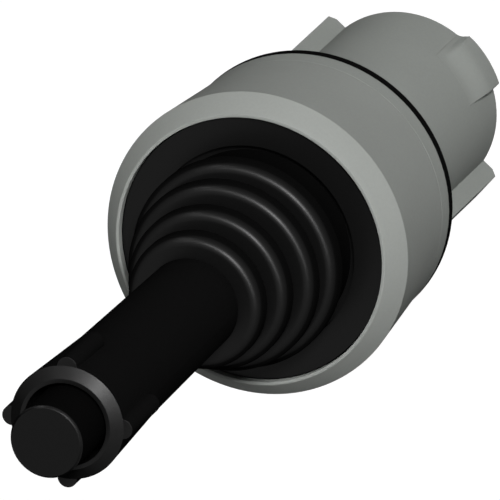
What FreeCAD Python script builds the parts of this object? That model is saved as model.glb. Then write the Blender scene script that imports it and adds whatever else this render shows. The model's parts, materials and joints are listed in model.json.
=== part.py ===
import FreeCAD, Part
import os
import re
import Sketcher

# A panel joystick with a bellows boot. The lever stands along +Z, the origin lies on its axis in the
# plane of the panel's front face, and millimetres are used throughout.
# The lever tilts about X with the gimbal ring and about Y inside it. A ribbed sleeve slides up the
# lever and lifts the lock rod. Four plungers below the swash plate work the contacts.

SIZES = [
    ("seat_clearance", 0.1, "play between pieces that are pushed together"),
    ("running_clearance", 0.05, "play of a pin that turns in a hole"),
    ("sliding_clearance", 0.15, "play of a piece that slides"),
    ("root_depth", 0.8, "start of a rib, fin or boss inside the wall that it grows from"),
    ("seal_thickness", 1.0, "panel seal, squeezed"),
    ("seal_step", 0.3, "step that centres the panel seal"),
    ("flange_thickness", 2.0, "housing, flange"),
    ("collar_radius", 11.0, "collar that centres the head in the panel hole"),
    ("collar_length", 5.0, "collar"),
    ("bush_radius", 9.25, "bush behind the panel"),
    ("bush_length", 26.2, "bush behind the panel"),
    ("bush_bore", 7.6, "bush"),
    ("bush_step", 0.6, "bush, shoulder that carries the guide plate"),
    ("fin_thickness", 3.0, "guide fins on the bush"),
    ("fin_angle", -40.0, "degrees from +X to the fins"),
    ("fin_corner", 0.6, "guide fins, slope on the rear corners"),
    ("lug_height", 0.75, "raised lug at the rear end"),
    ("lug_length", 2.0, "raised lug"),
    ("lug_width", 5.3, "raised lug"),
    ("lug_angle", 34.5, "degrees from +X to the lug"),
    ("cup_step", 0.15, "cup's bore beyond the collar"),
    ("cup_wall", 1.4, "cup that holds the gimbal"),
    ("well_step", 1.4, "step from the cup down to the swash plate's well"),
    ("well_floor", 3.5, "depth of the well below the panel's front face"),
    ("boss_width", 4.4, "pivot bosses"),
    ("boss_cover", 0.4, "pivot bosses above the gimbal ring"),
    ("pillar_radius", 1.5, "screw pillars in the cup"),
    ("pillar_inset", 0.4, "screw pillars, centres inside the cup's bore"),
    ("oring_drop", 2.2, "sealing ring below the cup's rim"),
    ("oring_section", 1.2, "sealing ring"),
    ("oring_flat", 0.3, "sealing ring, rounding of its squeezed corners"),
    ("bezel_wall", 1.28, "bezel around the cup"),
    ("bezel_flare", 1.0, "widening of the bezel's cone"),
    ("bezel_cone", 12.55, "height of the bezel's cone"),
    ("bezel_slope", 2.05, "height of the bezel's sloped edge"),
    ("rim_offset", 0.5, "bezel, rim's bore outside the cup's radius"),
    ("rim_recess", 0.6, "depth of the boot's flange below the rim"),
    ("ledge_reach", 0.7, "ledge over the boot's bead, inside the cup's radius"),
    ("ledge_thickness", 1.0, "ledge"),
    ("boot_flange_thickness", 1.3, "boot, flange"),
    ("boot_bead_thickness", 1.0, "boot, bead below the ledge"),
    ("boot_wall", 0.9, "boot"),
    ("boot_valley_width", 0.25, "boot, groove inside the flange"),
    ("boot_valley_depth", 1.0, "boot, groove inside the flange"),
    ("boot_groove", 0.8, "boot, depth of the grooves between the folds"),
    ("boot_undercut", 0.3, "boot, groove below the tread of the fold under it"),
    ("boot_round", 0.5, "boot, slope on the shoulder of a fold"),
    ("boot_lip", 3.0, "boot, lip on the lever"),
    ("boot_tread", 1.3, "boot, rubber below the tread of a fold"),
    ("fold_a_radius", 9.8, "boot, first fold"),
    ("fold_step_b", 0.9, "boot, second fold inside the first"),
    ("fold_step_c", 1.15, "boot, third fold inside the second"),
    ("fold_step_d", 1.4, "boot, fourth fold inside the third"),
    ("fold_rise", 5.7, "boot, first fold above the flange"),
    ("fold_pitch", 3.6, "boot, rise from fold to fold"),
    ("retainer_thickness", 1.0, "ring under the boot's bead"),
    ("retainer_reach", 3.45, "ring under the boot's bead"),
    ("gate_thickness", 1.2, "gate plate"),
    ("gate_opening", 5.4, "half the side of the gate's square opening"),
    ("gate_corner", 2.0, "corners of the gate's opening"),
    ("screw_radius", 0.7, "gate screws"),
    ("screw_head_radius", 1.2, "gate screws"),
    ("screw_head_height", 0.7, "gate screws"),
    ("screw_length", 4.5, "gate screws"),
    ("pivot_height", 6.0, "tilting centre above the panel"),
    ("gimbal_gap", 0.5, "gimbal ring inside the pivot bosses"),
    ("boss_height", 2.05, "pivot bosses, reach into the cup"),
    ("gimbal_clearance", 1.1, "gimbal ring around the hub"),
    ("gimbal_height", 4.0, "gimbal ring"),
    ("gimbal_pin_radius", 1.1, "gimbal pins"),
    ("gimbal_pin_depth", 1.0, "gimbal pins, inner ends behind the ring's bore"),
    ("lever_pin_radius", 0.9, "lever pins"),
    ("lever_pin_start", 0.4, "lever pins, inner ends outside the tube's bore"),
    ("lever_pin_depth", 0.4, "lever pins, outer ends inside the ring's edge"),
    ("hub_radius", 4.5, "hub of the lever"),
    ("hub_height", 4.8, "hub of the lever"),
    ("tube_bore", 1.5, "lever tube"),
    ("tube_radius", 3.35, "lever tube where the sleeve slides"),
    ("tube_neck_radius", 2.9, "lever tube inside the sleeve's spring"),
    ("tube_length", 27.7, "lever tube above the sleeve's lower end"),
    ("stem_step", 0.6, "lever tube below the hub, beyond the spigot"),
    ("spigot_radius", 2.4, "lever tube through the swash plate"),
    ("spigot_end", 0.9, "end of the spigot below the swash plate"),
    ("clip_thickness", 0.5, "clip under the swash plate"),
    ("clip_reach", 0.8, "clip under the swash plate"),
    ("clip_groove", 0.4, "depth of the clip's groove"),
    ("clip_gap", 2.4, "mouth of the clip"),
    ("plate_drop", 6.0, "swash plate's underside below the tilting centre"),
    ("plate_margin", 1.6, "swash plate beyond the plungers' circle"),
    ("plate_thickness", 1.4, "swash plate"),
    ("plate_boss_radius", 4.0, "swash plate, raised middle"),
    ("plate_boss_height", 1.2, "swash plate, raised middle"),
    ("tip_radius", 3.52, "end piece of the lever"),
    ("tip_length", 11.6, "end piece above the tube"),
    ("tip_stem_length", 5.0, "end piece, part inside the tube"),
    ("tip_chamfer", 0.2, "end piece"),
    ("sleeve_gap", 0.3, "sleeve's lower end above the boot"),
    ("sleeve_length", 34.25, "unlocking sleeve"),
    ("sleeve_mouth", 4.0, "unlocking sleeve, bore"),
    ("sleeve_foot_wall", 0.58, "unlocking sleeve, wall at the lower end"),
    ("sleeve_bend", 20.7, "unlocking sleeve, height where it widens faster"),
    ("sleeve_taper", 0.3, "unlocking sleeve, widening up to the bend"),
    ("sleeve_flare", 0.62, "unlocking sleeve, widening from the bend to the upper end"),
    ("sleeve_chamfer_rise", 0.6, "unlocking sleeve, sloped end"),
    ("sleeve_chamfer_depth", 1.1, "unlocking sleeve, sloped end"),
    ("sleeve_travel", 5.0, "lift of the sleeve"),
    ("rib_radius", 0.95, "grip ribs"),
    ("rib_inset", 0.1, "grip ribs, centres inside the sleeve's outer radius"),
    ("rib_length", 7.4, "grip ribs"),
    ("rib_count", 4.0, "grip ribs"),
    ("bushing_length", 11.7, "bushing in the sleeve"),
    ("cross_pin_radius", 0.8, "pin that joins sleeve and lock rod"),
    ("cross_pin_place", 3.7, "pin that joins sleeve and lock rod, above the sleeve's end"),
    ("rod_clearance", 0.3, "lock rod in the tube"),
    ("rod_tip", 1.5, "tip of the lock rod below the swash plate"),
    ("rod_cone", 1.0, "length of the lock rod's cone"),
    ("rod_nose", 0.4, "radius at the end of the cone"),
    ("rod_over_pin", 0.8, "lock rod beyond the cross pin"),
    ("guide_depth", 9.0, "guide plate, depth below the panel's front face"),
    ("guide_thickness", 3.0, "guide plate"),
    ("lock_gap", 0.5, "lock cup's mouth below the tip of the rod"),
    ("lock_cup_play", 0.9, "lock cup inside the centring spring"),
    ("lock_cup_rim", 0.3, "lock cup, flat around the mouth"),
    ("lock_cup_bore", 1.4, "lock cup"),
    ("lock_cup_foot", 2.0, "lock cup, part inside the guide plate"),
    ("lock_cup_foot_radius", 1.8, "lock cup, part inside the guide plate"),
    ("rear_guide_step", 0.1, "counterbore for the rear guide, beyond the bush's bore"),
    ("rear_guide_thickness", 2.2, "rear guide"),
    ("rear_guide_depth", 1.0, "rear guide, distance from the bush's end"),
    ("circlip_thickness", 0.6, "ring that holds the rear guide"),
    ("circlip_groove", 0.5, "ring that holds the rear guide, depth of its groove"),
    ("circlip_reach", 0.8, "ring that holds the rear guide, inside the counterbore"),
    ("circlip_gap", 3.0, "ring that holds the rear guide, mouth"),
    ("plunger_inset", 1.9, "plungers, centres inside the bush's bore"),
    ("plunger_radius", 1.0, "plungers"),
    ("plunger_count", 4.0, "plungers"),
    ("plunger_gap", 0.5, "free play below the swash plate"),
    ("plunger_collar_reach", 0.5, "plungers, collar"),
    ("plunger_collar_drop", 1.6, "plungers, collar below the domed end"),
    ("plunger_collar_height", 0.8, "plungers, collar"),
    ("plunger_reach", 2.6, "plungers behind the bush"),
    ("plunger_bevel", 0.3, "plungers, rear end"),
    ("dome_height", 0.4, "plungers, domed end"),
    ("dome_flat", 0.2, "plungers, flat on the domed end"),
    ("spring_wall", 0.35, "plunger springs"),
    ("spring_clearance", 0.1, "springs around the pieces inside them"),
    ("centring_wall", 0.6, "centring spring"),
    ("centring_gap", 0.35, "centring spring, inside the plunger springs"),
    ("sleeve_spring_wall", 0.75, "sleeve spring"),
]

PATTERN_AXIS = "Z_Axis"
FUNCTIONS = ("sqrt",)

FLANGE_TOP = "(seal_thickness + flange_thickness)"
SPIGOT_RADIUS = "(collar_radius + seal_step)"
CUP_BORE = "(collar_radius + cup_step)"
CUP_RADIUS = f"({CUP_BORE} + cup_wall)"
WELL_RADIUS = f"({CUP_BORE} - well_step)"
FOOT_RADIUS = f"({CUP_RADIUS} + seat_clearance + bezel_wall)"
EDGE_HEIGHT = f"({FLANGE_TOP} + bezel_cone)"
RIM_HEIGHT = f"({EDGE_HEIGHT} + bezel_slope)"
RIM_RADIUS = f"({CUP_RADIUS} + rim_offset)"
LEDGE_BORE = f"({CUP_RADIUS} - ledge_reach)"
BOOT_PLANE = f"({RIM_HEIGHT} - rim_recess)"
LEDGE_TOP = f"({BOOT_PLANE} - boot_flange_thickness)"
BEAD_TOP = f"({LEDGE_TOP} - ledge_thickness)"
BEAD_BOTTOM = f"({BEAD_TOP} - boot_bead_thickness)"
GATE_TOP = f"({BEAD_BOTTOM} - retainer_thickness)"
CUP_TOP = f"({GATE_TOP} - gate_thickness)"
PILLAR_CIRCLE = f"({CUP_BORE} - pillar_inset)"
ORING_HEIGHT = f"({CUP_TOP} - oring_drop)"
ORING_INNER = f"({CUP_RADIUS} - oring_section + 2 * seat_clearance)"
FOLDS = [
    "fold_a_radius",
    "(fold_a_radius - fold_step_b)",
    "(fold_a_radius - fold_step_b - fold_step_c)",
    "(fold_a_radius - fold_step_b - fold_step_c - fold_step_d)",
]
FOLD_TOPS = [f"({BOOT_PLANE} + fold_rise + {step} * fold_pitch)" for step in range(len(FOLDS))]
BOOT_TOP = FOLD_TOPS[-1]
BOOT_NECK = "(fold_a_radius - boot_groove - boot_wall)"
GIMBAL_RADIUS = f"({CUP_BORE} - boss_height - gimbal_gap)"
GIMBAL_BORE = "(hub_radius + gimbal_clearance)"
HUB_BOTTOM = "(pivot_height - hub_height / 2)"
HUB_TOP = "(pivot_height + hub_height / 2)"
PLATE_BOTTOM = "(pivot_height - plate_drop)"
PLATE_TOP = f"({PLATE_BOTTOM} + plate_thickness + plate_boss_height)"
SLEEVE_BOTTOM = f"({BOOT_TOP} + sleeve_gap)"
SLEEVE_TOP = f"({SLEEVE_BOTTOM} + sleeve_length)"
SLEEVE_FOOT_RADIUS = "(sleeve_mouth + sleeve_foot_wall)"
SLEEVE_BEND_RADIUS = f"({SLEEVE_FOOT_RADIUS} + sleeve_taper)"
SLEEVE_TOP_RADIUS = f"({SLEEVE_BEND_RADIUS} + sleeve_flare)"
BUSHING_TOP = f"({SLEEVE_BOTTOM} + bushing_length)"
TUBE_TOP = f"({SLEEVE_BOTTOM} + tube_length)"
TIP_HEIGHT = f"({TUBE_TOP} + tip_length)"
CROSS_PIN_HEIGHT = f"({SLEEVE_BOTTOM} + cross_pin_place)"
ROD_RADIUS = "(tube_bore - rod_clearance)"
ROD_END = f"({PLATE_BOTTOM} - rod_tip)"
LOCK_TOP = f"({ROD_END} - lock_gap)"
PLUNGER_CIRCLE = "(bush_bore - plunger_inset)"
PLUNGER_TOP = f"({PLATE_BOTTOM} - plunger_gap)"
COLLAR_BOTTOM = f"({PLUNGER_TOP} - plunger_collar_drop - plunger_collar_height)"
COIL_INNER = "(plunger_radius + spring_clearance)"
CENTRING_OUTER = f"({PLUNGER_CIRCLE} - {COIL_INNER} - spring_wall - centring_gap)"
CENTRING_INNER = f"({CENTRING_OUTER} - centring_wall)"
LOCK_CUP_RADIUS = f"({CENTRING_INNER} - lock_cup_play)"
STEP_BORE = "(bush_bore - bush_step)"
GUIDE_BOTTOM = "(-guide_depth - guide_thickness)"
REAR_RADIUS = "(bush_bore + rear_guide_step)"
REAR_BOTTOM = "(-bush_length + rear_guide_depth)"
REAR_TOP = f"({REAR_BOTTOM} + rear_guide_thickness)"

doc = FreeCAD.newDocument("PanelJoystick")
sheet = doc.addObject("Spreadsheet::Sheet", "Sizes")
for row, (alias, amount, note) in enumerate(SIZES, start=1):
    sheet.set("A%d" % row, alias)
    sheet.set("B%d" % row, str(amount))
    sheet.set("C%d" % row, note)
    sheet.setAlias("B%d" % row, alias)
doc.recompute()

parts = []


def bound(text):
    """The expression for a size, with each word turned into a cell of the sheet."""
    def cell(word):
        return word.group(0) if word.group(0) in FUNCTIONS else "Sizes." + word.group(0)
    return re.sub(r"[a-z][a-z_]*", cell, text)


def number(text):
    """The present value of an expression."""
    return float(sheet.evalExpression(bound(text)))

def new_body(label):
    body = doc.addObject("PartDesign::Body", label)
    body.Label = label
    parts.append(body)
    return body


def origin_feature(body, role):
    return [f for f in body.Origin.OriginFeatures if f.Role == role][0]


def new_sketch(body, name, role="XZ_Plane", height="0", angle="0"):
    """A sketch on one of the body's planes, moved along its normal and turned about it."""
    sketch = body.newObject("Sketcher::SketchObject", name)
    sketch.AttachmentSupport = [(origin_feature(body, role), "")]
    sketch.MapMode = "FlatFace"
    if height != "0":
        sketch.setExpression("AttachmentOffset.Base.z", bound(height))
    if angle != "0":
        sketch.setExpression("AttachmentOffset.Rotation.Angle", bound(angle))
    return sketch


def pin_point(sketch, geometry, position, x, y):
    """Ties a point to the sketch's axes by two sizes."""
    if x == "0":
        sketch.addConstraint(Sketcher.Constraint("PointOnObject", geometry, position, -2))
    else:
        index = sketch.addConstraint(Sketcher.Constraint("DistanceX", -1, 1, geometry, position, number(x)))
        sketch.setExpression("Constraints[%d]" % index, bound(x))
    if y == "0":
        sketch.addConstraint(Sketcher.Constraint("PointOnObject", geometry, position, -1))
    else:
        index = sketch.addConstraint(Sketcher.Constraint("DistanceY", -1, 1, geometry, position, number(y)))
        sketch.setExpression("Constraints[%d]" % index, bound(y))


def draw_polygon(sketch, points):
    """A closed outline through points whose coordinates are expressions."""
    places = [FreeCAD.Vector(number(x), number(y), 0) for x, y in points]
    first = sketch.GeometryCount
    count = len(places)
    for i in range(count):
        sketch.addGeometry(Part.LineSegment(places[i], places[(i + 1) % count]), False)
    for i in range(count):
        sketch.addConstraint(Sketcher.Constraint("Coincident", first + i, 2, first + (i + 1) % count, 1))
    for i, (x, y) in enumerate(points):
        pin_point(sketch, first + i, 1, x, y)


def draw_circle(sketch, x, y, radius):
    centre = FreeCAD.Vector(number(x), number(y), 0)
    circle = sketch.addGeometry(Part.Circle(centre, FreeCAD.Vector(0, 0, 1), number(radius)), False)
    if x == "0" and y == "0":
        sketch.addConstraint(Sketcher.Constraint("Coincident", circle, 3, -1, 1))
    else:
        pin_point(sketch, circle, 3, x, y)
    index = sketch.addConstraint(Sketcher.Constraint("Radius", circle, number(radius)))
    sketch.setExpression("Constraints[%d]" % index, bound(radius))


def rectangle(left, right, bottom, top):
    return [(left, bottom), (right, bottom), (right, top), (left, top)]


def revolve(body, name, points, groove=False):
    """A turned solid, or a turned cut, from a half section of radii and heights."""
    sketch = new_sketch(body, name + "_section")
    draw_polygon(sketch, points)
    kind = "PartDesign::Groove" if groove else "PartDesign::Revolution"
    feature = body.newObject(kind, name)
    feature.Profile = sketch
    feature.ReferenceAxis = (sketch, ["V_Axis"])
    feature.Angle = 360
    return feature


def pad(body, sketch, name, length, backwards=False, symmetric=False):
    feature = body.newObject("PartDesign::Pad", name)
    feature.Profile = sketch
    feature.setExpression("Length", bound(length))
    feature.Reversed = backwards
    feature.Midplane = symmetric
    return feature


def pocket(body, sketch, name, length, backwards=False, symmetric=False):
    feature = body.newObject("PartDesign::Pocket", name)
    feature.Profile = sketch
    feature.setExpression("Length", bound(length))
    feature.Reversed = backwards
    feature.Midplane = symmetric
    return feature


def repeat_round_axis(body, feature, name, count):
    """Copies of a feature, evenly spaced about the lever's axis."""
    pattern = body.newObject("PartDesign::PolarPattern", name)
    pattern.Originals = [feature]
    pattern.Axis = (origin_feature(body, PATTERN_AXIS), [""])
    pattern.Angle = 360
    pattern.setExpression("Occurrences", bound(count))
    body.Tip = pattern
    return pattern


def cut_across(body, name, role, x, y, radius, length, height="0", angle="0", symmetric=True):
    """A round hole square to one of the body's planes."""
    sketch = new_sketch(body, name + "_outline", role, height, angle)
    draw_circle(sketch, x, y, radius)
    return pocket(body, sketch, name, length, symmetric=symmetric)


def make_housing():
    """Flange, collar and bush in one piece, with the cup, its pivot bosses and its screw pillars."""
    body = new_body("housing")
    revolve(body, "shell", [
        ("bush_bore", "-well_floor"),
        (WELL_RADIUS, "-well_floor"),
        (WELL_RADIUS, FLANGE_TOP),
        (CUP_BORE, FLANGE_TOP),
        (CUP_BORE, CUP_TOP),
        (CUP_RADIUS, CUP_TOP),
        (CUP_RADIUS, FLANGE_TOP),
        (FOOT_RADIUS, FLANGE_TOP),
        (FOOT_RADIUS, "seal_thickness"),
        (SPIGOT_RADIUS, "seal_thickness"),
        (SPIGOT_RADIUS, "0"),
        ("collar_radius", "0"),
        ("collar_radius", "-collar_length"),
        ("bush_radius", "-collar_length"),
        ("bush_radius", "-bush_length"),
        (REAR_RADIUS, "-bush_length"),
        (REAR_RADIUS, REAR_TOP),
        (STEP_BORE, REAR_TOP),
        (STEP_BORE, GUIDE_BOTTOM),
        ("bush_bore", GUIDE_BOTTOM),
    ])
    lug = new_sketch(body, "lug_section", "XY_Plane", "-bush_length", "lug_angle")
    draw_polygon(lug, rectangle("bush_radius - root_depth", "collar_radius",
                                "-lug_width / 2", "lug_width / 2"))
    pad(body, lug, "lug", "lug_length")
    revolve(body, "lug_face", rectangle(
        "bush_radius + lug_height", "collar_radius + root_depth", "-bush_length - root_depth",
        "-bush_length + lug_length"), groove=True)
    fin = new_sketch(body, "fin_section", "XY_Plane", "-bush_length", "fin_angle")
    draw_polygon(fin, rectangle("bush_radius - root_depth", "collar_radius",
                                "-fin_thickness / 2", "fin_thickness / 2"))
    fin_pad = pad(body, fin, "fin", "bush_length - collar_length")
    repeat_round_axis(body, fin_pad, "fins", "2")
    revolve(body, "fin_corners", [
        ("collar_radius - fin_corner", "-bush_length"),
        ("collar_radius + fin_corner", "-bush_length"),
        ("collar_radius + fin_corner", "-bush_length + 2 * fin_corner"),
    ], groove=True)
    boss = new_sketch(body, "boss_section", "XY_Plane", FLANGE_TOP)
    draw_polygon(boss, rectangle(f"{CUP_BORE} - boss_height", f"{CUP_BORE} + root_depth",
                                 "-boss_width / 2", "boss_width / 2"))
    boss_pad = pad(body, boss, "pivot_boss", f"pivot_height + gimbal_height / 2 + boss_cover - {FLANGE_TOP}")
    repeat_round_axis(body, boss_pad, "pivot_bosses", "2")
    pillar = new_sketch(body, "pillar_section", "XY_Plane", FLANGE_TOP, "45")
    draw_circle(pillar, PILLAR_CIRCLE, "0", "pillar_radius")
    pillar_pad = pad(body, pillar, "screw_pillar", f"{CUP_TOP} - {FLANGE_TOP}")
    repeat_round_axis(body, pillar_pad, "screw_pillars", "4")
    hole = new_sketch(body, "screw_hole_outline", "XY_Plane", CUP_TOP, "45")
    draw_circle(hole, PILLAR_CIRCLE, "0", "screw_radius")
    hole_pocket = pocket(body, hole, "screw_hole", "screw_length")
    repeat_round_axis(body, hole_pocket, "screw_holes", "4")
    cut_across(body, "gimbal_pin_hole", "YZ_Plane", "0", "pivot_height",
               "gimbal_pin_radius", f"4 * {CUP_RADIUS}")
    revolve(body, "oring_groove", rectangle(
        ORING_INNER, f"{CUP_RADIUS} + root_depth",
        f"{ORING_HEIGHT} - oring_section / 2 - seat_clearance",
        f"{ORING_HEIGHT} + oring_section / 2 + seat_clearance"), groove=True)
    revolve(body, "circlip_groove", rectangle(
        f"{REAR_RADIUS} - circlip_groove", f"{REAR_RADIUS} + circlip_groove",
        f"{REAR_BOTTOM} - circlip_thickness", REAR_BOTTOM), groove=True)


def make_bezel():
    """The conical head ring with its sloped edge, its rim and the ledge over the boot's bead."""
    body = new_body("bezel_ring")
    revolve(body, "ring", [
        (f"{CUP_RADIUS} + seat_clearance", FLANGE_TOP),
        (FOOT_RADIUS, FLANGE_TOP),
        (f"{FOOT_RADIUS} + bezel_flare", EDGE_HEIGHT),
        (RIM_RADIUS, RIM_HEIGHT),
        (RIM_RADIUS, LEDGE_TOP),
        (LEDGE_BORE, LEDGE_TOP),
        (LEDGE_BORE, BEAD_TOP),
        (f"{CUP_RADIUS} + seat_clearance", BEAD_TOP),
    ])


def make_panel_seal():
    body = new_body("panel_seal")
    revolve(body, "ring", rectangle(
        f"{SPIGOT_RADIUS} + seat_clearance", FOOT_RADIUS, "0", "seal_thickness"))


def make_head_seal():
    """The sealing ring in the cup's groove, flattened where the bezel squeezes it."""
    body = new_body("head_seal")
    outer = f"{CUP_RADIUS} + seat_clearance"
    low = f"{ORING_HEIGHT} - oring_section / 2"
    high = f"{ORING_HEIGHT} + oring_section / 2"
    revolve(body, "ring", [
        (ORING_INNER, low + " + oring_flat"),
        (ORING_INNER + " + oring_flat", low),
        (outer + " - oring_flat", low),
        (outer, low + " + oring_flat"),
        (outer, high + " - oring_flat"),
        (outer + " - oring_flat", high),
        (ORING_INNER + " + oring_flat", high),
        (ORING_INNER, high + " - oring_flat"),
    ])


def make_boot():
    """The bellows: a flange, a bead below the bezel's ledge, and four folds up to the lever tube."""
    body = new_body("boot")
    points = [(BOOT_NECK, BEAD_BOTTOM)]
    levels = [BOOT_PLANE] + FOLD_TOPS
    for step, radius in enumerate(FOLDS):
        inside = f"{radius} - boot_groove - boot_wall"
        depth = "boot_lip" if step == len(FOLDS) - 1 else "boot_tread"
        if step:
            points.append((inside, f"{levels[step]} - boot_tread"))
        points.append((inside, f"{levels[step + 1]} - {depth}"))
    points.append(("tube_radius + spring_clearance", f"{BOOT_TOP} - boot_lip"))
    points.append(("tube_radius + spring_clearance", BOOT_TOP))
    for step in reversed(range(len(FOLDS))):
        radius, top = FOLDS[step], FOLD_TOPS[step]
        foot = f"{levels[step]} - boot_undercut" if step else f"{levels[step]} - boot_valley_depth"
        points.append((f"{radius} - boot_round", top))
        points.append((radius, f"{top} - boot_round"))
        points.append((radius, f"{top} - 3 * boot_round"))
        points.append((f"{radius} - boot_groove", foot))
        if step:
            points.append((f"{radius} - boot_groove + boot_undercut", levels[step]))
    points += [
        ("fold_a_radius", f"{BOOT_PLANE} - boot_valley_depth"),
        ("fold_a_radius + boot_valley_width", BOOT_PLANE),
        (f"{RIM_RADIUS} - seat_clearance / 2", BOOT_PLANE),
        (f"{RIM_RADIUS} - seat_clearance / 2", LEDGE_TOP),
        (f"{LEDGE_BORE} - seat_clearance", LEDGE_TOP),
        (f"{LEDGE_BORE} - seat_clearance", BEAD_TOP),
        (CUP_RADIUS, BEAD_TOP),
        (CUP_RADIUS, BEAD_BOTTOM),
    ]
    revolve(body, "bellows", points)


def make_boot_retainer():
    body = new_body("boot_retainer")
    revolve(body, "ring", rectangle(f"{CUP_RADIUS} - retainer_reach", CUP_RADIUS, GATE_TOP, BEAD_BOTTOM))


def make_gate_plate():
    """The square gate that limits the lever, with slanted corners for the diagonals."""
    body = new_body("gate_plate")
    sketch = new_sketch(body, "disc_outline", "XY_Plane", CUP_TOP)
    draw_circle(sketch, "0", "0", CUP_RADIUS)
    pad(body, sketch, "disc", "gate_thickness")
    opening = new_sketch(body, "opening_outline", "XY_Plane", CUP_TOP)
    side = "gate_opening"
    short = "(gate_opening - gate_corner)"
    draw_polygon(opening, [
        (side, "-" + short), (side, short), (short, side), ("-" + short, side),
        ("-" + side, short), ("-" + side, "-" + short), ("-" + short, "-" + side), (short, "-" + side),
    ])
    pocket(body, opening, "opening", "gate_thickness", backwards=True)
    hole = new_sketch(body, "screw_hole_outline", "XY_Plane", CUP_TOP, "45")
    draw_circle(hole, PILLAR_CIRCLE, "0", "screw_radius + seat_clearance")
    hole_pocket = pocket(body, hole, "screw_hole", "gate_thickness", backwards=True)
    repeat_round_axis(body, hole_pocket, "screw_holes", "4")
    sink = new_sketch(body, "screw_sink_outline", "XY_Plane", GATE_TOP, "45")
    draw_circle(sink, PILLAR_CIRCLE, "0", "screw_head_radius + seat_clearance")
    sink_pocket = pocket(body, sink, "screw_sink", "screw_head_height")
    repeat_round_axis(body, sink_pocket, "screw_sinks", "4")


def make_gate_screws():
    """Four countersunk screws through the gate plate into the pillars."""
    body = new_body("gate_screws")
    seat = f"{GATE_TOP} - screw_head_height"
    head = new_sketch(body, "head_outline", "XY_Plane", seat, "45")
    draw_circle(head, PILLAR_CIRCLE, "0", "screw_head_radius")
    head_pad = pad(body, head, "head", "screw_head_height")
    shank = new_sketch(body, "shank_outline", "XY_Plane", seat, "45")
    draw_circle(shank, PILLAR_CIRCLE, "0", "screw_radius")
    shank_pad = pad(body, shank, "shank", "screw_length", backwards=True)
    pattern = repeat_round_axis(body, head_pad, "screws", "4")
    pattern.Originals = [head_pad, shank_pad]


def make_gimbal_pins():
    """Two pins pressed into the cup, on which the gimbal ring tilts."""
    body = new_body("gimbal_pins")
    start = f"{GIMBAL_BORE} + gimbal_pin_depth"
    sketch = new_sketch(body, "pin_outline", "YZ_Plane", start)
    draw_circle(sketch, "0", "pivot_height", "gimbal_pin_radius")
    pin = pad(body, sketch, "pin", f"{CUP_RADIUS} - ({start})")
    repeat_round_axis(body, pin, "pins", "2")


def make_gimbal_ring():
    body = new_body("gimbal_ring")
    revolve(body, "ring", rectangle(
        GIMBAL_BORE, GIMBAL_RADIUS, "pivot_height - gimbal_height / 2", "pivot_height + gimbal_height / 2"))
    cut_across(body, "gimbal_pin_hole", "YZ_Plane", "0", "pivot_height",
               "gimbal_pin_radius + running_clearance", f"4 * {GIMBAL_RADIUS}")
    cut_across(body, "lever_pin_hole", "XZ_Plane", "0", "pivot_height",
               "lever_pin_radius + running_clearance", f"4 * {GIMBAL_RADIUS}")


def make_lever_pins():
    """Two stub pins from the hub into the gimbal ring, clear of the lock rod between them."""
    body = new_body("lever_pins")
    start = "(tube_bore + lever_pin_start)"
    sketch = new_sketch(body, "pin_outline", "XZ_Plane", start)
    draw_circle(sketch, "0", "pivot_height", "lever_pin_radius")
    pin = pad(body, sketch, "pin", f"{GIMBAL_RADIUS} - lever_pin_depth - {start}")
    repeat_round_axis(body, pin, "pins", "2")


def make_lever_tube():
    """The hollow lever: spigot, stem, hub, guide for the sleeve's bushing, and neck for its spring."""
    body = new_body("lever_tube")
    revolve(body, "tube", [
        ("tube_bore", f"{PLATE_BOTTOM} - spigot_end"),
        ("spigot_radius", f"{PLATE_BOTTOM} - spigot_end"),
        ("spigot_radius", f"{PLATE_BOTTOM} - clip_thickness"),
        ("spigot_radius - clip_groove", f"{PLATE_BOTTOM} - clip_thickness"),
        ("spigot_radius - clip_groove", PLATE_BOTTOM),
        ("spigot_radius", PLATE_BOTTOM),
        ("spigot_radius", PLATE_TOP),
        ("spigot_radius + stem_step", PLATE_TOP),
        ("spigot_radius + stem_step", HUB_BOTTOM),
        ("hub_radius", HUB_BOTTOM),
        ("hub_radius", HUB_TOP),
        ("tube_radius", f"{HUB_TOP} + hub_radius - tube_radius"),
        ("tube_radius", BUSHING_TOP),
        ("tube_neck_radius", BUSHING_TOP),
        ("tube_neck_radius", TUBE_TOP),
        ("tube_bore", TUBE_TOP),
    ])
    cut_across(body, "lever_pin_hole", "XZ_Plane", "0", "pivot_height", "lever_pin_radius", "4 * hub_radius")
    slot = new_sketch(body, "slot_outline", "YZ_Plane")
    half = "(cross_pin_radius + sliding_clearance)"
    draw_polygon(slot, rectangle(
        "-" + half, half, f"{CROSS_PIN_HEIGHT} - {half}", f"{CROSS_PIN_HEIGHT} + sleeve_travel + {half}"))
    pocket(body, slot, "cross_pin_slot", "4 * tube_radius", symmetric=True)


def make_lever_tip():
    """The end piece, whose stem fills the top of the tube."""
    body = new_body("lever_tip")
    revolve(body, "tip", [
        ("0", f"{TUBE_TOP} - tip_stem_length"),
        ("tube_bore - running_clearance", f"{TUBE_TOP} - tip_stem_length"),
        ("tube_bore - running_clearance", TUBE_TOP),
        ("tip_radius", TUBE_TOP),
        ("tip_radius", f"{TIP_HEIGHT} - tip_chamfer"),
        ("tip_radius - tip_chamfer", TIP_HEIGHT),
        ("0", TIP_HEIGHT),
    ])


def make_swash_plate():
    body = new_body("swash_plate")
    bore = "spigot_radius + running_clearance"
    edge = f"{PLUNGER_CIRCLE} + plate_margin"
    revolve(body, "plate", [
        (bore, PLATE_BOTTOM),
        (edge, PLATE_BOTTOM),
        (edge, f"{PLATE_BOTTOM} + plate_thickness"),
        ("plate_boss_radius", f"{PLATE_BOTTOM} + plate_thickness"),
        ("plate_boss_radius", PLATE_TOP),
        (bore, PLATE_TOP),
    ])


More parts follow.
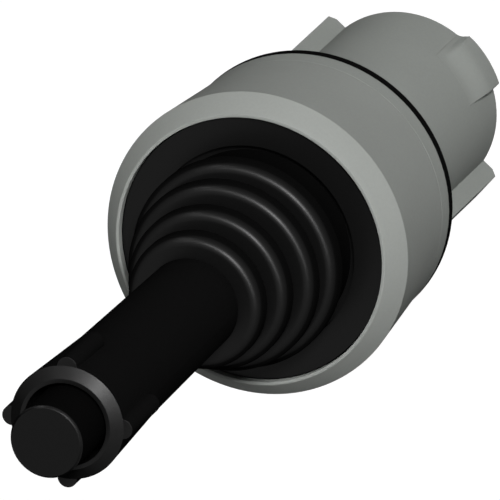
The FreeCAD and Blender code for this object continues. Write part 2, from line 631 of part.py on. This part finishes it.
def make_swash_clip():
    """The open ring in the spigot's groove that holds the swash plate up against the stem."""
    body = new_body("swash_clip")
    reach = "(spigot_radius + clip_reach)"
    revolve(body, "ring", rectangle(
        "spigot_radius - clip_groove", reach, f"{PLATE_BOTTOM} - clip_thickness", PLATE_BOTTOM))
    mouth = new_sketch(body, "mouth_outline", "XY_Plane", PLATE_BOTTOM)
    draw_polygon(mouth, rectangle("0", "2 * " + reach, "-clip_gap / 2", "clip_gap / 2"))
    pocket(body, mouth, "mouth", "4 * clip_thickness", symmetric=True)


def make_unlocking_sleeve():
    """The tapered grip sleeve with a sloped end and half-round ribs near it."""
    body = new_body("unlocking_sleeve")
    revolve(body, "sleeve", [
        ("sleeve_mouth", SLEEVE_BOTTOM),
        (SLEEVE_FOOT_RADIUS, SLEEVE_BOTTOM),
        (SLEEVE_BEND_RADIUS, f"{SLEEVE_BOTTOM} + sleeve_bend"),
        (SLEEVE_TOP_RADIUS, f"{SLEEVE_TOP} - sleeve_chamfer_rise"),
        (f"{SLEEVE_TOP_RADIUS} - sleeve_chamfer_depth", SLEEVE_TOP),
        ("sleeve_mouth", SLEEVE_TOP),
    ])
    rib = new_sketch(body, "rib_outline", "XY_Plane", f"{SLEEVE_TOP} - sleeve_chamfer_rise")
    draw_circle(rib, f"{SLEEVE_TOP_RADIUS} - rib_inset", "0", "rib_radius")
    rib_pad = pad(body, rib, "rib", "rib_length", backwards=True)
    repeat_round_axis(body, rib_pad, "ribs", "rib_count")
    bore = new_sketch(body, "bore_outline", "XY_Plane", SLEEVE_TOP)
    draw_circle(bore, "0", "0", "sleeve_mouth")
    pocket(body, bore, "bore", "sleeve_length")


def make_sleeve_bushing():
    """The bushing pressed into the sleeve, which slides on the tube and holds the cross pin."""
    body = new_body("sleeve_bushing")
    revolve(body, "bushing", rectangle(
        "tube_radius + sliding_clearance", "sleeve_mouth", SLEEVE_BOTTOM, BUSHING_TOP))
    cut_across(body, "cross_pin_hole", "YZ_Plane", "0", CROSS_PIN_HEIGHT,
               "cross_pin_radius", "4 * sleeve_mouth")


def make_cross_pin():
    body = new_body("cross_pin")
    sketch = new_sketch(body, "pin_outline", "YZ_Plane")
    draw_circle(sketch, "0", CROSS_PIN_HEIGHT, "cross_pin_radius")
    pad(body, sketch, "pin", "2 * sqrt(sleeve_mouth * sleeve_mouth - cross_pin_radius * cross_pin_radius)",
        symmetric=True)


def make_lock_rod():
    """The rod inside the tube, whose cone stands over the lock cup when the sleeve is down."""
    body = new_body("lock_rod")
    top = f"{CROSS_PIN_HEIGHT} + cross_pin_radius + rod_over_pin"
    revolve(body, "rod", [
        ("0", ROD_END),
        ("rod_nose", ROD_END),
        (ROD_RADIUS, f"{ROD_END} + rod_cone"),
        (ROD_RADIUS, top),
        ("0", top),
    ])
    cut_across(body, "cross_pin_hole", "YZ_Plane", "0", CROSS_PIN_HEIGHT,
               "cross_pin_radius", f"4 * {ROD_RADIUS}")


def make_sleeve_spring():
    body = new_body("sleeve_spring")
    inner = "tube_neck_radius + spring_clearance"
    revolve(body, "coil", rectangle(inner, inner + " + sleeve_spring_wall", BUSHING_TOP, TUBE_TOP))


def drill_plunger_holes(body, top, thickness):
    """Four holes for the plungers, from a height down through a disc."""
    hole = new_sketch(body, "plunger_hole_outline", "XY_Plane", top)
    draw_circle(hole, PLUNGER_CIRCLE, "0", "plunger_radius + sliding_clearance")
    hole_pocket = pocket(body, hole, "plunger_hole", thickness)
    repeat_round_axis(body, hole_pocket, "plunger_holes", "plunger_count")


def make_guide_plate():
    body = new_body("guide_plate")
    revolve(body, "disc", rectangle(
        "lock_cup_foot_radius", "bush_bore - running_clearance", GUIDE_BOTTOM, "-guide_depth"))
    drill_plunger_holes(body, "-guide_depth", "guide_thickness")


def make_lock_cup():
    """The cup with a conical mouth that stands on the guide plate below the lever."""
    body = new_body("lock_cup")
    revolve(body, "cup", [
        ("0", "-guide_depth - lock_cup_foot"),
        ("lock_cup_foot_radius", "-guide_depth - lock_cup_foot"),
        ("lock_cup_foot_radius", "-guide_depth"),
        (LOCK_CUP_RADIUS, "-guide_depth"),
        (LOCK_CUP_RADIUS, LOCK_TOP),
        (f"{LOCK_CUP_RADIUS} - lock_cup_rim", LOCK_TOP),
        ("lock_cup_bore", f"{LOCK_TOP} - rod_cone"),
        ("lock_cup_bore", f"{LOCK_TOP} - sleeve_travel"),
        ("0", f"{LOCK_TOP} - sleeve_travel"),
    ])


def make_rear_guide():
    body = new_body("rear_guide")
    revolve(body, "disc", rectangle("0", f"{REAR_RADIUS} - running_clearance", REAR_BOTTOM, REAR_TOP))
    drill_plunger_holes(body, REAR_TOP, "rear_guide_thickness")


def make_rear_circlip():
    """The spring ring that keeps the rear guide in the bush."""
    body = new_body("rear_circlip")
    revolve(body, "ring", rectangle(
        f"{REAR_RADIUS} - circlip_reach", f"{REAR_RADIUS} + circlip_groove - running_clearance",
        f"{REAR_BOTTOM} - circlip_thickness", REAR_BOTTOM))
    mouth = new_sketch(body, "mouth_outline", "XY_Plane", REAR_BOTTOM, "45")
    draw_polygon(mouth, rectangle("0", f"2 * {REAR_RADIUS}", "-circlip_gap / 2", "circlip_gap / 2"))
    pocket(body, mouth, "mouth", "2 * circlip_thickness", symmetric=True)


def place_on_plunger_circle(body, east, north):
    """Moves a piece from the lever's axis to its plunger's place."""
    if east:
        body.setExpression(".Placement.Base.x", bound(f"{east} * {PLUNGER_CIRCLE}"))
    if north:
        body.setExpression(".Placement.Base.y", bound(f"{north} * {PLUNGER_CIRCLE}"))


def make_plunger(label, east, north):
    """A round rod with a domed end, a collar for its spring and a free rear end."""
    body = new_body(label)
    collar = "plunger_radius + plunger_collar_reach"
    collar_top = f"{PLUNGER_TOP} - plunger_collar_drop"
    revolve(body, "rod", [
        ("0", "-bush_length - plunger_reach"),
        ("plunger_radius - plunger_bevel", "-bush_length - plunger_reach"),
        ("plunger_radius", "-bush_length - plunger_reach + plunger_bevel"),
        ("plunger_radius", COLLAR_BOTTOM),
        (collar, COLLAR_BOTTOM),
        (collar, collar_top),
        ("plunger_radius", collar_top),
        ("plunger_radius", f"{PLUNGER_TOP} - dome_height"),
        ("(plunger_radius + dome_flat) / 2", f"{PLUNGER_TOP} - dome_height / 4"),
        ("dome_flat", PLUNGER_TOP),
        ("0", PLUNGER_TOP),
    ])
    place_on_plunger_circle(body, east, north)


def make_plunger_spring(label, east, north):
    body = new_body(label)
    revolve(body, "coil", rectangle(COIL_INNER, f"{COIL_INNER} + spring_wall", "-guide_depth", COLLAR_BOTTOM))
    place_on_plunger_circle(body, east, north)


def make_centring_spring():
    """The large spring between the guide plate and the swash plate."""
    body = new_body("centring_spring")
    revolve(body, "coil", rectangle(
        CENTRING_INNER, CENTRING_OUTER, "-guide_depth", f"{PLATE_BOTTOM} - spring_clearance"))


DIRECTIONS = {"east": (1, 0), "north": (0, 1), "west": (-1, 0), "south": (0, -1)}

make_housing()
make_bezel()
make_panel_seal()
make_head_seal()
make_boot()
make_boot_retainer()
make_gate_plate()
make_gate_screws()
make_gimbal_pins()
make_gimbal_ring()
make_lever_pins()
make_lever_tube()
make_lever_tip()
make_swash_plate()
make_swash_clip()
make_unlocking_sleeve()
make_sleeve_bushing()
make_cross_pin()
make_lock_rod()
make_sleeve_spring()
make_guide_plate()
make_lock_cup()
make_rear_guide()
make_rear_circlip()
make_centring_spring()
for direction, (east, north) in DIRECTIONS.items():
    make_plunger("plunger_" + direction, east, north)
    make_plunger_spring("plunger_spring_" + direction, east, north)
doc.recompute()

for item in doc.Objects:
    if "Invalid" in item.State or "Error" in item.State:
        raise RuntimeError("%s failed to build" % item.Name)
for body in parts:
    if body.Shape.isNull() or not body.Shape.isValid():
        raise RuntimeError("%s has no valid shape" % body.Label)
    print("%-22s solids %d  volume %8.1f" % (body.Label, len(body.Shape.Solids), body.Shape.Volume))

os.makedirs("parts", exist_ok=True)
for body in parts:
    body.Shape.exportStep("parts/%s.step" % body.Label)
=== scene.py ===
import json
import math

import bmesh
import bpy
from mathutils import Matrix, Vector


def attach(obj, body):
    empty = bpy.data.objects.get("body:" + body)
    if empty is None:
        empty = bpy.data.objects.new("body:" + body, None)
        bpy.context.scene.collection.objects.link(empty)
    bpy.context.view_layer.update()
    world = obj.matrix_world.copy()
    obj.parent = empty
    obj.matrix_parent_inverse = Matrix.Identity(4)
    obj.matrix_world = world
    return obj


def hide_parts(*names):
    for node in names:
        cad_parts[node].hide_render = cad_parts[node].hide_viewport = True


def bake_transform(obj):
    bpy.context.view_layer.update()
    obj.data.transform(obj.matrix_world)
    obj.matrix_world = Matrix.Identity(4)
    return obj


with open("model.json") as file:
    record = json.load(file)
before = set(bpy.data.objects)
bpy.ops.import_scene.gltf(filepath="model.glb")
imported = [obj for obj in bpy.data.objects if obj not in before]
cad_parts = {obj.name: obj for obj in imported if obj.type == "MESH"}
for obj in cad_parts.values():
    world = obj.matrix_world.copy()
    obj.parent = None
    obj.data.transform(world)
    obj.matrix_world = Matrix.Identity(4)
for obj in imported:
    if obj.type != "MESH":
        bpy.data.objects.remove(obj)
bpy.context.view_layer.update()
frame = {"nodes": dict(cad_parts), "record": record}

MM = 0.001


def add_object(name, data):
    """A new object in the scene."""
    made = bpy.data.objects.new(name, data)
    bpy.context.scene.collection.objects.link(made)
    return made


def add_mesh(name, mesh):
    """A new object from a bmesh, which is freed."""
    data = bpy.data.meshes.new(name)
    mesh.to_mesh(data)
    mesh.free()
    return add_object(name, data)


# ---------------------------------------------------------------- camera
# The photograph's view, fitted to its circles: where the camera stands, in mm, and how it is turned.

CAMERA_PLACE = (698.244, 743.665, 1975.754)
CAMERA_RIGHT = (0.9417612, 0.0012135, -0.3362801)
CAMERA_UP = (-0.1143400, 0.9415704, -0.3168146)
CAMERA_BACK = (0.3162469, 0.3368140, 0.8868733)
SENSOR = 36.0
LENS = 1700.0


def make_camera():
    """A long lens, almost a parallel projection."""
    data = bpy.data.cameras.new("photo_camera")
    data.sensor_width = SENSOR
    data.lens = LENS
    data.clip_start = 0.05
    data.clip_end = 20.0
    camera = add_object("photo_camera", data)
    axes = Matrix((Vector(CAMERA_RIGHT), Vector(CAMERA_UP), Vector(CAMERA_BACK)))
    camera.matrix_world = Matrix.Translation(Vector(CAMERA_PLACE) * MM) @ axes.transposed().to_4x4()
    bpy.context.scene.camera = camera


make_camera()
bpy.context.scene.view_settings.view_transform = "Standard"


# ---------------------------------------------------------------- materials

GRAIN_SCALE = 3600.0      # fine grain of the moulded surface
CLOUD_SCALE = 140.0       # faint wide clouds
NOISE_MIDDLE = (0.3, 0.7)  # the part of the noise that is used
UNEVEN = (0.98, 1.02)     # how far grain and clouds move the colour
GRAIN_ROUGHNESS = 0.03    # how far the grain moves the roughness
GRAIN_BUMP = 0.04
GRAIN_DEPTH = 0.05 * MM
EDGE_SAMPLES = 6
FADE_START = 0.10         # where the gloss starts to fade, 0 facing the viewer, 1 edge on


def noise_node(tree, scale, detail):
    node = tree.nodes.new("ShaderNodeTexNoise")
    node.inputs["Scale"].default_value = scale
    node.inputs["Detail"].default_value = detail
    return node


def map_range(tree, source, to, start=(0.0, 1.0)):
    """Maps a value from the range start to the range to; gives the output."""
    node = tree.nodes.new("ShaderNodeMapRange")
    for name, value in zip(("From Min", "From Max", "To Min", "To Max"), start + to):
        node.inputs[name].default_value = value
    tree.links.new(source, node.inputs["Value"])
    return node.outputs["Result"]


def combine(tree, operation, first, second):
    """A Math node of two outputs, or of an output and a number; gives the output."""
    node = tree.nodes.new("ShaderNodeMath")
    node.operation = operation
    tree.links.new(first, node.inputs[0])
    if isinstance(second, float):
        node.inputs[1].default_value = second
    else:
        tree.links.new(second, node.inputs[1])
    return node.outputs["Value"]


def material(name, colour, roughness=0.5, metallic=0.0, specular=0.5, fade=0.0, edge=0.0):
    """A moulded or metal finish with a fine grain and faint clouds.

    fade takes the gloss away where the surface is seen that far edge on; edge rounds sharp edges, in mm.
    """
    made = bpy.data.materials.new(name)
    made.use_nodes = True
    tree = made.node_tree
    nodes, links = tree.nodes, tree.links
    shader = nodes["Principled BSDF"]
    shader.inputs["Metallic"].default_value = metallic
    shader.inputs["Specular IOR Level"].default_value = specular

    where = nodes.new("ShaderNodeTexCoord")
    grain = noise_node(tree, GRAIN_SCALE, 3.0)
    clouds = noise_node(tree, CLOUD_SCALE, 2.0)
    for noise in (grain, clouds):
        links.new(where.outputs["Object"], noise.inputs["Vector"])

    shades = [map_range(tree, noise.outputs["Fac"], UNEVEN, NOISE_MIDDLE) for noise in (grain, clouds)]
    tint = nodes.new("ShaderNodeVectorMath")
    tint.operation = "SCALE"
    tint.inputs[0].default_value = colour
    links.new(combine(tree, "MULTIPLY", *shades), tint.inputs["Scale"])
    links.new(tint.outputs["Vector"], shader.inputs["Base Color"])

    rough = (max(0.0, roughness - GRAIN_ROUGHNESS), min(1.0, roughness + GRAIN_ROUGHNESS))
    links.new(map_range(tree, grain.outputs["Fac"], rough), shader.inputs["Roughness"])

    bump = nodes.new("ShaderNodeBump")
    bump.inputs["Strength"].default_value = GRAIN_BUMP
    bump.inputs["Distance"].default_value = GRAIN_DEPTH
    links.new(grain.outputs["Fac"], bump.inputs["Height"])
    links.new(bump.outputs["Normal"], shader.inputs["Normal"])
    if edge:
        rounded = nodes.new("ShaderNodeBevel")
        rounded.samples = EDGE_SAMPLES
        rounded.inputs["Radius"].default_value = edge * MM
        links.new(rounded.outputs["Normal"], bump.inputs["Normal"])
    if fade:
        facing = nodes.new("ShaderNodeLayerWeight")
        facing.inputs["Blend"].default_value = 0.5
        level = map_range(tree, facing.outputs["Facing"], (specular, 0.0), (FADE_START, fade))
        links.new(level, shader.inputs["Specular IOR Level"])
    return made


def grey(value):
    return (value, value, value)


FINISHES = {name: material(name, *given, **more) for name, given, more in [
    ("housing_grey", ((0.345, 0.362, 0.342), 0.60), dict(specular=0.15, fade=0.45, edge=0.12)),
    ("bezel_grey", ((0.372, 0.388, 0.368), 0.55), dict(specular=0.15, fade=0.45)),
    ("seal_rubber", (grey(0.006), 0.6), dict(specular=0.05, fade=0.45)),
    ("boot_rubber", (grey(0.0055), 0.35), dict(specular=0.09, fade=0.36)),
    ("lever_black", (grey(0.0042), 0.30), dict(specular=0.088, fade=0.40, edge=0.24)),
    ("sleeve_black", (grey(0.0075), 0.31), dict(specular=0.10, fade=0.32, edge=0.12)),
    ("inner_plastic", ((0.35, 0.35, 0.33), 0.5), {}),
    ("plunger_plastic", ((0.6, 0.6, 0.55), 0.5), {}),
    ("steel", ((0.45, 0.45, 0.46), 0.35, 1.0), {}),
    ("spring_steel", ((0.35, 0.35, 0.36), 0.35, 1.0), {}),
    ("brass", ((0.55, 0.42, 0.2), 0.35, 1.0), {}),
]}

for entry in frame["record"]["subparts"]:
    node = frame["nodes"][entry["node"]]
    node.data.materials.clear()
    node.data.materials.append(FINISHES[entry["material_slot"]])


# ---------------------------------------------------------------- turned shapes
# Outlines are lists of (radius, height) in mm.

def arc(radius, height, size, start, end, steps):
    """Points of an arc round (radius, height), angles in degrees from outwards towards up."""
    points = []
    for step in range(steps + 1):
        angle = math.radians(start + (end - start) * step / steps)
        points.append((radius + size * math.cos(angle), height + size * math.sin(angle)))
    return points


def heading(start, end):
    return math.atan2(end[1] - start[1], end[0] - start[0])


def corner(mesh, radius, angle, height):
    return mesh.verts.new((radius * math.cos(angle) * MM, radius * math.sin(angle) * MM, height * MM))


def lathe(name, outline, segments=192, crease=32):
    """A closed outline turned round the axis, smooth but for corners sharper than crease degrees."""
    mesh = bmesh.new()
    rings = []
    for radius, height in outline:
        rings.append([corner(mesh, radius, 2 * math.pi * step / segments, height) for step in range(segments)])
    for here, there in zip(rings, rings[1:] + rings[:1]):
        for step in range(segments):
            after = (step + 1) % segments
            mesh.faces.new((here[step], here[after], there[after], there[step]))
    bmesh.ops.recalc_face_normals(mesh, faces=mesh.faces)
    for face in mesh.faces:
        face.smooth = True
    for place, ring in enumerate(rings):
        before, here, after = outline[place - 1], outline[place], outline[(place + 1) % len(outline)]
        turn = abs((heading(here, after) - heading(before, here) + math.pi) % (2 * math.pi) - math.pi)
        if turn > math.radians(crease):
            for step in range(segments):
                mesh.edges.get((ring[step], ring[(step + 1) % segments])).smooth = False
    return add_mesh(name, mesh)


# ---------------------------------------------------------------- boot

FOLDS = [(10.20, 22.70), (9.28, 26.30), (7.95, 29.90), (6.65, 33.50)]  # widest first, to the fold's top
SHOULDER_WIDE = 1.00
SHOULDER_TALL = 1.10
SHOULDER_STEPS = 14
SIDE = 1.95               # from a fold's top to where its side turns under
SIDE_RADIUS = 0.45
GROOVE = 0.80             # how deep the groove below a fold goes in
GROOVE_TOP = 2.9          # from a fold's top to its groove's upper corner
WALL = 0.70
ROOF = 1.3                # from a fold's top to the inside below it
LAP = 0.2                 # the upper piece's groove goes this far below the widest fold's top
LOW_SIDE = 0.2            # the widest fold's side reaches this much lower
LOW_GROOVE = 0.5          # and so does its groove's upper corner
PLANE = 17.00             # top of the flange round the folds
STEP_DOWN = 1.0           # the narrow gap between flange and widest fold
GAP_EDGE = [(10.05, PLANE - STEP_DOWN), (10.10, PLANE)]
FLANGE = [(12.9, PLANE), (13.0, PLANE - 0.1), (13.0, 15.7)]
BEAD = [(11.75, 15.7), (11.75, 14.7), (12.55, 14.7), (12.55, 13.7)]
BORE = 3.45               # where the boot grips the lever
GRIP = 3.0
GRIP_BREAK = 0.1


def shoulder(radius, top):
    """The rounded upper edge of a fold, from its tread to its side."""
    points = []
    for step in range(SHOULDER_STEPS + 1):
        angle = math.radians(90 - 90 * step / SHOULDER_STEPS)
        points.append((radius - SHOULDER_WIDE + SHOULDER_WIDE * math.cos(angle),
                       top - SHOULDER_TALL + SHOULDER_TALL * math.sin(angle)))
    return points


def side(radius, top):
    """Down a fold's upright side and round its lower edge."""
    return [(radius, top - 1.5)] + arc(radius - SIDE_RADIUS, top - SIDE, SIDE_RADIUS, 0, -75, 8)


def lower_boot():
    """Flange, bead and the widest fold; its top edge lies in the groove below the second fold."""
    (widest, top), (second, _) = FOLDS[:2]
    outline = [(second - GROOVE, top - LAP), (second - GROOVE, top)]
    outline += shoulder(widest, top)
    outline += side(widest, top - LOW_SIDE)
    outline += [(widest - GROOVE, top - GROOVE_TOP - LOW_GROOVE), (widest - GROOVE, PLANE - STEP_DOWN)]
    outline += GAP_EDGE + FLANGE + BEAD
    wide, narrow = widest - GROOVE - WALL, second - GROOVE - WALL
    outline += [(wide, BEAD[-1][1]), (wide, top - ROOF), (narrow, top - ROOF), (narrow, top - LAP)]
    return lathe("boot_lower", outline)


def upper_boot():
    """The three narrower folds and the lip that grips the lever."""
    top = FOLDS[3][1]
    outline = [(BORE, top - GRIP_BREAK), (BORE + GRIP_BREAK, top)]
    for here, below in zip(FOLDS[:0:-1], FOLDS[2::-1]):
        outline += shoulder(*here)
        outline += side(*here)
        foot = below[1] if below != FOLDS[0] else below[1] - LAP
        outline += [(here[0] - GROOVE, here[1] - GROOVE_TOP), (here[0] - GROOVE, foot)]
    inside = [(radius - GROOVE - WALL, fold_top) for radius, fold_top in FOLDS]
    outline += [(inside[1][0], inside[0][1] - LAP), (inside[1][0], inside[1][1] - ROOF)]
    outline += [(inside[2][0], inside[1][1] - ROOF), (inside[2][0], inside[2][1] - ROOF)]
    outline += [(inside[3][0], inside[2][1] - ROOF), (inside[3][0], top - GRIP), (BORE, top - GRIP)]
    return lathe("boot_upper", outline)


# Two pieces that meet in the groove below the second fold; the part's own boot is hidden.
lower = lower_boot()
upper = upper_boot()
for piece in (lower, upper):
    piece.data.materials.append(FINISHES["boot_rubber"])
    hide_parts("boot")
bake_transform(lower)
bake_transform(upper)


# ---------------------------------------------------------------- head ring and key lug

FOOT = [(12.65, 3.0), (13.90, 3.0), (13.935, 3.04)]
WIDE_EDGE = [(14.92, 15.40), (14.935, 15.50), (14.925, 15.57), (14.89, 15.63)]
LAND = [(13.40, 17.54), (13.37, 17.58), (13.33, 17.60), (13.09, 17.60), (13.06, 17.585), (13.05, 17.55)]
LEDGE = [(13.05, 15.7), (11.85, 15.7), (11.85, 14.7), (12.65, 14.7)]

LUG_ANGLE = math.radians(34.5)
LUG_LENGTH = 2.0
LUG_RAMP = 4.5
LUG_RISE = 0.77
LUG_MIDDLE = 9.6          # radius at which its width is measured
BUSH_RADIUS = 9.25
BUSH_END = -26.21
RAMP_STEPS = 12


def lug_cover():
    """The key lug's moulded skin: it rises from the bush in a ramp and runs out in a fillet on one side."""
    across = [(-2.67, -0.2), (-2.67, 0.70), (-2.60, 0.76), (-2.50, LUG_RISE)]
    across += [(-2.0 + 0.5 * step, LUG_RISE) for step in range(9)]
    across += [(2.35, 0.74), (2.60, 0.63), (2.80, 0.44), (2.98, 0.24), (3.20, 0.09), (3.50, 0.0), (3.50, -0.2)]
    ramp_start = BUSH_END + LUG_LENGTH - 0.2
    along = [(BUSH_END, 1.0), (ramp_start, 1.0)]
    for step in range(1, RAMP_STEPS + 1):
        share = 0.5 + 0.5 * math.cos(math.pi * step / RAMP_STEPS)
        along.append((ramp_start + LUG_RAMP * step / RAMP_STEPS, share))
    mesh = bmesh.new()
    rows = []
    for height, share in along:
        row = []
        for shift, rise in across:
            radius = BUSH_RADIUS + (rise * share if rise > 0 else rise)
            row.append(corner(mesh, radius, LUG_ANGLE + shift / LUG_MIDDLE, height))
        rows.append(row)
    for here, there in zip(rows, rows[1:]):
        for step in range(len(across)):
            after = (step + 1) % len(across)
            mesh.faces.new((here[step], here[after], there[after], there[step]))
    mesh.faces.new(rows[0])
    mesh.faces.new(rows[-1][::-1])
    bmesh.ops.recalc_face_normals(mesh, faces=mesh.faces)
    for face in mesh.faces:
        face.smooth = True
    for edge in mesh.edges:
        edge.smooth = edge.calc_face_angle(0.0) < math.radians(35)
    return add_mesh("lug_cover", mesh)


# The head ring has a narrow flat land round its rim, and its edges are broken.
ring = lathe("bezel", FOOT + WIDE_EDGE + LAND + LEDGE, 256, 28)
ring.data.materials.append(FINISHES["bezel_grey"])
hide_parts("bezel_ring")
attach(ring, "head")

lug = lug_cover()
lug.data.materials.append(FINISHES["housing_grey"])
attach(lug, "head")


# ---------------------------------------------------------------- light

AIM = Vector((0, 0, 0.02))
GLOSS_ANGLE = 10

# Lamps that only make highlights, along the arc on which the photograph's folds shine.
GLOSS = [
    ((0.344, 0.487, 0.802), 1.6),
    ((0.490, 0.330, 0.807), 1.2),
    ((0.170, 0.600, 0.780), 1.2),
    ((0.610, 0.160, 0.776), 0.7),
    ((0.000, 0.660, 0.751), 0.7),
    ((0.700, -0.030, 0.720), 0.4),
    ((-0.170, 0.690, 0.704), 0.4),
    ((-0.440, 0.650, 0.620), 0.3),
    ((-0.500, 0.810, 0.290), 0.6),
]


def add_sun(name, direction, strength, angle):
    """A sun that shines from the given direction; its angle in degrees is its width in the sky."""
    data = bpy.data.lights.new(name, "SUN")
    data.energy = strength
    data.angle = math.radians(angle)
    lamp = add_object(name, data)
    lamp.location = Vector(direction).normalized() * 0.5
    lamp.rotation_mode = "QUATERNION"
    lamp.rotation_quaternion = (AIM - lamp.location).to_track_quat("-Z", "Y")
    return lamp


add_sun("key", (0.344, 0.487, 0.802), 2.7, 12)
for number, (direction, strength) in enumerate(GLOSS):
    add_sun("gloss_%d" % number, direction, strength, GLOSS_ANGLE).visible_diffuse = False
add_sun("fill", (-0.75, -0.65, 0.10), 0.3, 40)


# ---------------------------------------------------------------- floor and surroundings

FLOOR_HEIGHT = -0.35
FLOOR_GLOW = 0.80         # with the light that falls on it, this comes to white
AMBIENT = 0.06


def seen_directly(tree):
    """1 for camera, glossy and transmission rays, 0 for the rays that light the part."""
    path = tree.nodes.new("ShaderNodeLightPath")
    seen = combine(tree, "MAXIMUM", path.outputs["Is Camera Ray"], path.outputs["Is Glossy Ray"])
    return combine(tree, "MAXIMUM", seen, path.outputs["Is Transmission Ray"])


def pale_floor():
    """A pale floor well below the part, white to the camera but for the part's shadow, and open from below."""
    mesh = bmesh.new()
    bmesh.ops.create_grid(mesh, x_segments=8, y_segments=8, size=1.5)
    piece = add_mesh("floor", mesh)
    piece.location = (0, 0, FLOOR_HEIGHT)
    made = bpy.data.materials.new("floor_pale")
    made.use_nodes = True
    tree = made.node_tree
    nodes, links = tree.nodes, tree.links
    shader = nodes["Principled BSDF"]
    shader.inputs["Roughness"].default_value = 0.9
    shader.inputs["Specular IOR Level"].default_value = 0.0
    noise = noise_node(tree, 40.0, 2.0)
    links.new(map_range(tree, noise.outputs["Fac"], (0.31, 0.33)), shader.inputs["Base Color"])
    shader.inputs["Emission Color"].default_value = (1, 1, 1, 1)
    glow = combine(tree, "MULTIPLY", seen_directly(tree), FLOOR_GLOW)
    links.new(glow, shader.inputs["Emission Strength"])
    face = nodes.new("ShaderNodeNewGeometry")
    clear = nodes.new("ShaderNodeBsdfTransparent")
    mix = nodes.new("ShaderNodeMixShader")
    links.new(face.outputs["Backfacing"], mix.inputs["Fac"])
    links.new(shader.outputs["BSDF"], mix.inputs[1])
    links.new(clear.outputs["BSDF"], mix.inputs[2])
    links.new(mix.outputs["Shader"], nodes["Material Output"].inputs["Surface"])
    piece.data.materials.append(made)


def white_world():
    """White where it is seen or mirrored, and a dim even light on the part."""
    world = bpy.data.worlds.new("studio")
    bpy.context.scene.world = world
    world.use_nodes = True
    tree = world.node_tree
    nodes, links = tree.nodes, tree.links
    dim = nodes["Background"]
    white = nodes.new("ShaderNodeBackground")
    for background, strength in ((dim, AMBIENT), (white, 1.0)):
        background.inputs["Color"].default_value = (1, 1, 1, 1)
        background.inputs["Strength"].default_value = strength
    mix = nodes.new("ShaderNodeMixShader")
    links.new(seen_directly(tree), mix.inputs["Fac"])
    links.new(dim.outputs["Background"], mix.inputs[1])
    links.new(white.outputs["Background"], mix.inputs[2])
    links.new(mix.outputs["Shader"], nodes["World Output"].inputs["Surface"])


pale_floor()
white_world()
